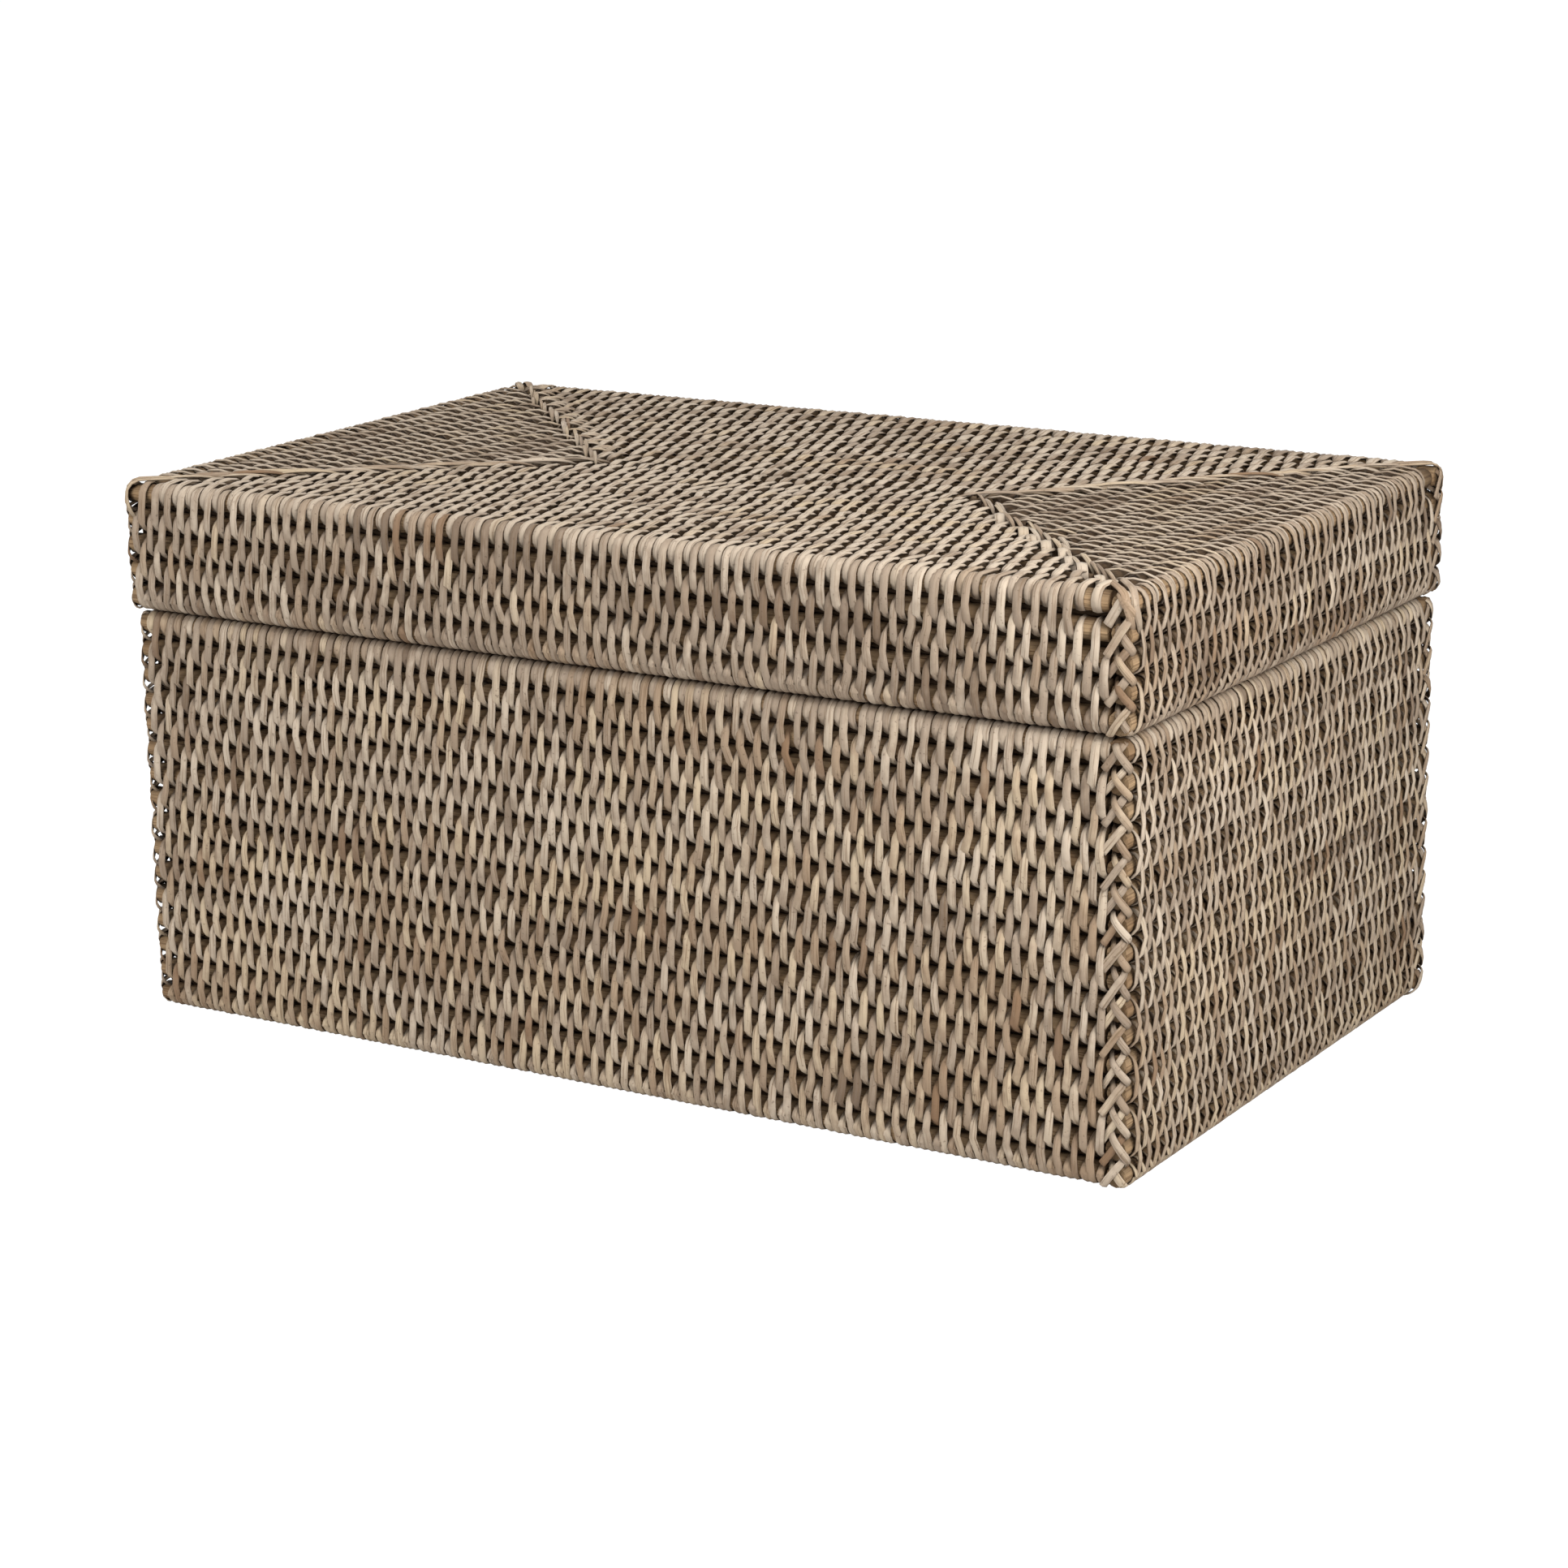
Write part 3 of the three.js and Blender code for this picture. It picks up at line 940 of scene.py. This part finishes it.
def lace(cane, side, ends, level, dives):
    """One strip at each rod, from start to finish round the corner at the end of a side.

    Each end is (s, rise): s along the unrolled corner, below 0 on this side and above 0 on the
    next, and rise in pitches from the rod's middle. The corner is a quarter circle between two
    lines. Past the first or last rod's middle a strip rolls over it: out = radius *
    cos(excess / radius), up = radius * sin(excess / radius).
    """
    (start, start_rise), (finish, finish_rise) = ends
    count = len(side.heights)
    share = np.linspace(0, 1, LACE_STEPS)
    s = start + (finish - start) * share
    low, high = start_rise * side.pitch, finish_rise * side.pitch
    climb = side.heights[:, None] + low + (high - low) * share
    climb = climb + rng.normal(0, 0.7, (count, 1))
    climb = climb + rng.normal(0, 1.2, (count, 1)) * (1 - share)
    into = np.clip(1 - share / LACE_DIP, 0, 1) * dives[0]
    dip = into + np.clip((share - (1 - LACE_DIP)) / LACE_DIP, 0, 1) * dives[1]
    depth = level[:, None] - LACE_DIVE * dip ** 2
    quarter = CORNER_ROUND * np.pi / 4
    bend = np.clip((s + quarter) / (2 * quarter), 0, 1) * np.pi / 2
    before, after = np.minimum(s + quarter, 0)[:, None], np.maximum(s - quarter, 0)[:, None]
    flat = before * side.along - after * side.out
    face = swing(bend, side.out, side.along)
    kept = np.clip(climb, side.heights[-1], side.heights[0])
    radius = np.where(climb > kept, side.bound[0], side.bound[-1])
    roll = (climb - kept) / radius
    height = kept + radius * np.sin(roll)
    normal = swing(roll, face, UP)
    drawn = CORNER_ROUND - radius * (1 - np.cos(roll))
    path = side.corner(CORNER_ROUND) + flat + drawn[..., None] * face
    path = path + height[..., None] * UP + depth[..., None] * normal
    width = LACE_WIDTH * rng.normal(1, 0.08, (count, 1)) * (1 - LACE_NARROW * dip)
    shade = cane_shades(rng.uniform(0, LACE_LENGTHS, count), LACE_HEIGHT, side.tone - LACE_DARK)
    # The dipping ends are darker: painted shade where the lacing goes into the weave.
    cane.strips(path, normal, width, shade, DEEP * dip)


for half in PARTS:
    for side_name, corner_name in CORNERS.items():
        side = sides[half, side_name]
        cane = Cane()
        on_top = rng.random(len(side.heights)) < 0.5
        lace(cane, side, FALLING, np.where(on_top, 0.0, LACE_OVER), (1, 1))
        lace(cane, side, RISING, np.where(on_top, LACE_OVER, 0.0), (0, 1))
        add_piece(f"{half}_corner_lacing_{corner_name}", "strips", cane, half)

# %% [markdown]
# ## Lacing on the diagonals: the chain
# Where two top panels meet, a chain of long stitches hides the cut ends of the rods. Each stitch
# starts beside the middle of the one before it. A texture would do from far off, but the chain
# stands up from the top and its shadow shows.

# %% Chain along a diagonal
HIP_STEPS = 11
HIP_STITCH, HIP_STEP = 32.0, 8.5
HIP_FROM, HIP_PAST = 12.0, 16.0
HIP_WIDTH, HIP_TIP, HIP_LEAN = 1.9, 0.2, 2.4
HIP_DIVE, HIP_RISE, HIP_CLIMB = 2.0, 2.9, 0.5
HIP_TILT = {"front": 0.15, "right": -0.3, "back": 0.15, "left": 0.6}


def diagonal(side):
    """Ways of the diagonal at the end of a side: in from the corner, and across to the next."""
    return -unit(side.out + side.along), unit(side.along - side.out)


def lace_hip(cane, side):
    """A chain of stitches along a diagonal, each an arch: 1 - |2 * share - 1| cubed."""
    inward, beside = diagonal(side)
    length = sides["lid", "front"].reach * np.sqrt(2)
    starts = np.arange(HIP_FROM, length - HIP_STITCH + HIP_PAST, HIP_STEP)
    starts = starts + rng.normal(0, 1.5, len(starts))
    count = len(starts)
    share = np.linspace(0, 1, HIP_STEPS)
    reach = starts[:, None] + HIP_STITCH * share
    arch = 1 - np.abs(2 * share - 1) ** 3
    lean = rng.normal(0, 1.3, (count, 1)) + HIP_LEAN * (2 * share - 1)
    level = side.heights[0] + WRAPPED - HIP_DIVE + HIP_RISE * arch + HIP_CLIMB * share
    level = level + rng.uniform(-0.5, 0.5, (count, 1))
    path = side.corner() + reach[..., None] * inward + lean[..., None] * beside + level[..., None] * UP
    tilt = HIP_TILT[side.name] + rng.normal(0, 0.35, (count, 1))
    normal = UP + tilt[..., None] * beside
    width = HIP_WIDTH * rng.normal(1, 0.12, (count, 1)) * (HIP_TIP + (1 - HIP_TIP) * arch)
    shade = single_shades((0.55, 0.55), (0.2, 0.15), count)
    # Painted shade at both ends of each stitch, where it dives under the chain.
    cane.strips(dish(path), normal, width, shade, DEEP * (1 - arch))


# %% [markdown]
# ## Lacing on the diagonals: over the corner
# The last stitches of the chain bend over the lid's corner. They are worked out in the upright
# plane of the diagonal, where the bend is a quarter circle, and lean apart below it.

# %% Bend over the corner
BEND_STEPS = 14
BEND_RADIUS, BEND_LIFT, BEND_INSET = 6.0, 0.6, 0.5
BEND_PLACES = np.array([-3.0, 1.6])
BEND_FROM, BEND_TO = -20.0, 21.0
BEND_ENDS, BEND_DIVE, BEND_DARK = 0.4, 4.0, 0.85
BEND_CLOSE, BEND_SPLAY, BEND_FAN = 0.35, 0.3, 0.08
BEND_DRAWN, BEND_TURN = 0.06, 0.12


def bend_over_corner(cane, side):
    """The last stitches of the chain: flat on top, a quarter circle over the corner, then down.

    In the upright plane of the diagonal, a point past the start of the bend by s lies at
    radius * sin(s / radius) outwards and radius * cos(s / radius) up from the bend's middle.
    """
    inward, beside = diagonal(side)
    run = np.linspace(BEND_FROM, BEND_TO, BEND_STEPS) + rng.normal(0, 2.0, (2, 1))
    bend = np.clip(run / BEND_RADIUS, 0, np.pi / 2)
    below = np.maximum(run - BEND_RADIUS * np.pi / 2, 0)
    before = np.minimum(run, 0)
    set_in = BEND_RADIUS + CORNER_ROUND * (np.sqrt(2) - 1) - BEND_INSET
    middle = side.corner() + inward * set_in
    middle = middle + (side.heights[0] + WRAPPED + BEND_LIFT - BEND_RADIUS) * UP
    half_way, half_run = (BEND_TO + BEND_FROM) / 2, (BEND_TO - BEND_FROM) / 2
    from_middle = np.abs(run - half_way) / half_run
    ends = np.clip(from_middle - (1 - BEND_ENDS), 0, BEND_ENDS) / BEND_ENDS
    normal = swing(bend, UP, -inward)
    outer = BEND_RADIUS - BEND_DIVE * ends ** 2
    lean = BEND_PLACES[:, None] * (1 - BEND_CLOSE * np.sin(bend))
    lean = lean + BEND_SPLAY * below - BEND_FAN * before
    drawn = BEND_DRAWN * lean ** 2 * np.sin(bend)
    path = middle + outer[..., None] * normal - before[..., None] * inward
    path = path - below[..., None] * UP + lean[..., None] * beside + drawn[..., None] * inward
    facing = normal + BEND_TURN * (lean * np.sin(bend))[..., None] * beside
    width = LACE_WIDTH * (1 - LACE_NARROW * ends)
    shade = single_shades((0.45, 0.6), 0.1, 2)
    # Painted shade at the ends, where the strips dive in.
    cane.strips(path, facing, width, shade, BEND_DARK * ends)


# %% [markdown]
# ## Lacing on the diagonals: tabs and ears
# Beside the chain the long panels' rows end in a tab with a square cut at the front right, and at
# the back left in a fan of narrow strips, arched like an ear. Both lie on the top, so the top
# side's coordinates place them.

# %% Row ends and the four diagonals
TAB_WIDTH, TAB_SHARE, TAB_BACK, TAB_LENGTH = 4.0, 0.8, 4.0, 6.0
TAB_FROM, TAB_ACROSS = 0.45, 0.95
TAB_RISE = np.array([-3.2, -0.6, 0.6, 1.1, 1.3, 1.2])
TAB_TUCK = np.array([0.8, 0.2, 0.0, 0.0, 0.0, 0.0])
EAR_FAN = [-0.32, 0.0, 0.32]
EAR_STEPS, EAR_WIDTH, EAR_TIP = 9, 2.3, 0.3
EAR_PAST, EAR_LENGTH, EAR_ACROSS = 1.5, 11.0, 0.5
EAR_DIVE, EAR_RISE, EAR_DARK = 2.0, 3.2, 0.8


def fold_tabs(cane, side):
    """A short strip at the end of most rows: it comes up over the rod and ends beside the chain."""
    rows = np.flatnonzero(rng.random(TOP_ROWS) < TAB_SHARE)[1:]
    count = len(rows)
    share = np.linspace(0, 1, len(TAB_RISE))
    along = side.halves[rows][:, None] - TAB_BACK - TAB_LENGTH * share
    along = along + rng.normal(0, 1.0, (count, 1))
    inward = side.rods[rows, 0][:, None] + TAB_FROM * side.pitch - TAB_ACROSS * side.pitch * share
    height = side.heights[0] + WRAPPED + TAB_RISE + rng.normal(0, 0.4, (count, 1)) * share
    path = side.place(along, np.stack([inward, height], axis=-1))
    shade = single_shades((0.8, 0.35), 0.1, count)
    # Painted shade at the start of each tab, where it comes up out of the weave.
    cane.strips(path, UP, np.array([TAB_WIDTH]), shade, TAB_TUCK)


def fan_ears(cane, side):
    """Narrow strips at the end of each row: height follows the root of a half sine wave."""
    count = len(EAR_FAN) * (TOP_ROWS - 1)
    rows = np.repeat(np.arange(1, TOP_ROWS), len(EAR_FAN))
    share = np.linspace(0, 1, EAR_STEPS)
    spread = np.tile(EAR_FAN, TOP_ROWS - 1)[:, None] + rng.normal(0, 0.05, (count, 1))
    along = side.halves[rows][:, None] + EAR_PAST - EAR_LENGTH * share
    along = along + rng.normal(0, 0.8, (count, 1))
    inward = side.rods[rows, 0][:, None] + side.pitch * (spread + EAR_ACROSS * share)
    arch = np.sin(np.pi * share)
    height = side.heights[0] + WRAPPED - EAR_DIVE + EAR_RISE * np.sqrt(arch)
    path = side.place(along, np.stack([inward, np.broadcast_to(height, along.shape)], axis=-1))
    width = EAR_WIDTH * (EAR_TIP + (1 - EAR_TIP) * arch)
    shade = single_shades((0.55, 0.45), 0.12, count)
    # Painted shade at the ends of each ear, where it dives in.
    cane.strips(path, UP, width, shade, EAR_DARK * (1 - arch))


for side_name, corner_name in CORNERS.items():
    side = tops[side_name]
    cane = Cane()
    lace_hip(cane, side)
    bend_over_corner(cane, side)
    if side_name == "front":
        fold_tabs(cane, side)
    if side_name == "back":
        fan_ears(cane, side)
    add_piece(f"lid_hip_lacing_{corner_name}", "strips", cane, "lid")

# %% [markdown]
# ## Collar slats
# Flat slats inside the rim keep the loose lid in place, and the closed box hides them. A box with
# a bevel would do, but the sweep is at hand: a rounded outline carried along the wall, with the
# rods' grain.

# %% Collar slats
SLAT_RING = 20
SLAT_STEPS = 30
SLAT_POWER = 0.25


def slat_section():
    """A rounded rectangle from -1 to 1 both ways: cosine and sine raised to a quarter power."""
    wave = circle(SLAT_RING)
    return np.sign(wave) * np.abs(wave) ** SLAT_POWER


def plank(name):
    """The rounded section carried along the slat's solid, at half its thickness and height."""
    side = sides["base", name]
    node = f"base_collar_slat_{name}"
    low, high = box_mm(node)
    size = np.abs(high - low)
    run = np.abs(size @ side.along)
    ends = np.linspace(-run / 2, run / 2, SLAT_STEPS)
    path = ((high + low) / 2 + ends[:, None] * side.along)[None]
    thick = np.abs(size @ side.out)[None] / 2
    tall = size[2:] / 2
    smooth = np.ones(SLAT_RING, bool)
    shade = rng.uniform(0, 1, (1, 2))
    cane = Cane()
    cane.sweep(path, side.out, slat_section(), smooth, tall, thick, shade, 0.0, BARE_ROD)
    add_piece(node, "plank", cane, "base")


for name in FACING:
    plank(name)

# %% [markdown]
# ## Camera
# The photograph was taken from the front right, a little above the lid, with a long lens. The
# camera stands at the same angle and distance. A constraint could aim it, but a matrix also gives
# it the photograph's slight lean.

# %% Camera
VIEW_AZIMUTH = 31.804
VIEW_ELEVATION = 15.063
VIEW_ROLL = -0.904
VIEW_DISTANCE = 1643.8
VIEW_HEIGHT = 92.55
VIEW_ASIDE = -1.34
LENS = 90.8


def stand(thing, right, upright, back, spot):
    """Puts a camera or lamp in the scene: its three axes and its place are a matrix's columns."""
    matrix = Matrix.Identity(4)
    for column, axis in enumerate((right, upright, back, spot)):
        matrix.col[column][:3] = axis
    thing.matrix_world = matrix
    bpy.context.scene.collection.objects.link(thing)


def place_camera():
    """Looks at a point close to the box's axis from an azimuth and elevation, then rolls."""
    azimuth, elevation, roll = np.radians([VIEW_AZIMUTH, VIEW_ELEVATION, VIEW_ROLL])
    level = np.array([np.sin(azimuth), -np.cos(azimuth), 0])
    back = swing(elevation, level, UP)
    right = unit(np.cross(-back, UP))
    over = np.cross(right, -back)
    tilted = swing(roll, right, over)
    upright = swing(roll, over, -right)
    data = bpy.data.cameras.new("camera")
    data.lens = LENS
    camera = bpy.data.objects.new("camera", data)
    spot = (VIEW_HEIGHT * UP + VIEW_ASIDE * right + VIEW_DISTANCE * back) * MM
    stand(camera, tilted, upright, back, spot)
    bpy.context.scene.camera = camera
    return spot


print("camera at", [round(float(way), 3) for way in place_camera()])

# %% [markdown]
# ## Floor and air
# A white studio: floor and air are white to the camera and dimmer to all else. A plain white
# floor would throw light up into the weave, so most of its white is a glow that only the camera
# sees, and the rest is paper that takes the box's shadow.

# %% Studio
WHITE = (1.0, 1.0, 1.0, 1.0)
PAPER = (0.7, 0.7, 0.7, 1.0)
FLOOR_HALF = 6.0
FLOOR_DROP = -0.0006
FLOOR_GLOW = 1.22
FLOOR_SHARE = 0.82
AIR_LIGHT = 0.22


def studio_floor():
    """A square of paper just below the box, mixed with a glow for the camera's rays."""
    mesh = bpy.data.meshes.new("studio_floor")
    ways = ((-1, -1), (1, -1), (1, 1), (-1, 1))
    corners = [(x * FLOOR_HALF, y * FLOOR_HALF, FLOOR_DROP) for x, y in ways]
    mesh.from_pydata(corners, [], [(0, 1, 2, 3)])
    paper = Finish("studio_paper")
    paper.finish(Base_Color=PAPER, Roughness=0.9)
    glow = paper.node("Emission", {"Color": WHITE, "Strength": FLOOR_GLOW})
    seen = paper.node("LightPath", {}, "Is Camera Ray")
    matt = Value(paper, paper.shader.outputs[0])
    blend = paper.node("MixShader", {0: seen * FLOOR_SHARE, 1: matt, 2: glow})
    paper.link(paper.tree.nodes["Material Output"].inputs[0], blend)
    mesh.materials.append(paper.material)
    floor = bpy.data.objects.new("studio_floor", mesh)
    bpy.context.scene.collection.objects.link(floor)


def studio_air():
    """White to the camera and in reflections, and a weak light from all sides otherwise."""
    world = bpy.data.worlds.new("studio_air")
    bpy.context.scene.world = world
    world.use_nodes = True
    air = Nodes(world.node_tree)
    seen = air.node("LightPath", {}, "Is Camera Ray")
    glossy = air.node("LightPath", {}, "Is Glossy Ray")
    strength = {0: seen.maths("MAXIMUM", glossy), "To Min": AIR_LIGHT, "To Max": 1.0}
    sky = air.tree.nodes["Background"]
    air.link(sky.inputs["Strength"], air.node("MapRange", strength))
    air.link(sky.inputs["Color"], WHITE)


studio_floor()
studio_air()
print("floor and air are white")

# %% [markdown]
# ## Lamps
# Two soft lamps stand on either side of the viewer and one hangs above, all near, so that the
# light falls off along the box and the openings of the weave stay dark. One large even light
# would wash out the relief of the strips.

# %% Lamps
LAMP_AIM = np.array([0.0, 0.0, 0.11])
LAMPS = {
    "lamp_left": dict(spot=(-0.95, -1.25, 0.6), size=0.8, power=14.8),
    "lamp_right": dict(spot=(0.65, -0.31, 0.46), size=0.35, power=5.4),
    "lamp_above": dict(spot=(0.0, -0.4, 1.5), size=1.0, power=16.5),
}


def soft_lamp(name, spot, size, power):
    """A square lamp that faces the middle of the box."""
    data = bpy.data.lights.new(name, "AREA")
    data.size = size
    data.energy = power
    lamp = bpy.data.objects.new(name, data)
    back = unit(np.array(spot) - LAMP_AIM)
    right = unit(np.cross(UP, back))
    stand(lamp, right, np.cross(back, right), back, spot)
    lamp.visible_camera = False


for name, values in LAMPS.items():
    soft_lamp(name, **values)
bpy.context.scene.view_settings.view_transform = "Standard"
print("lamps:", list(LAMPS))
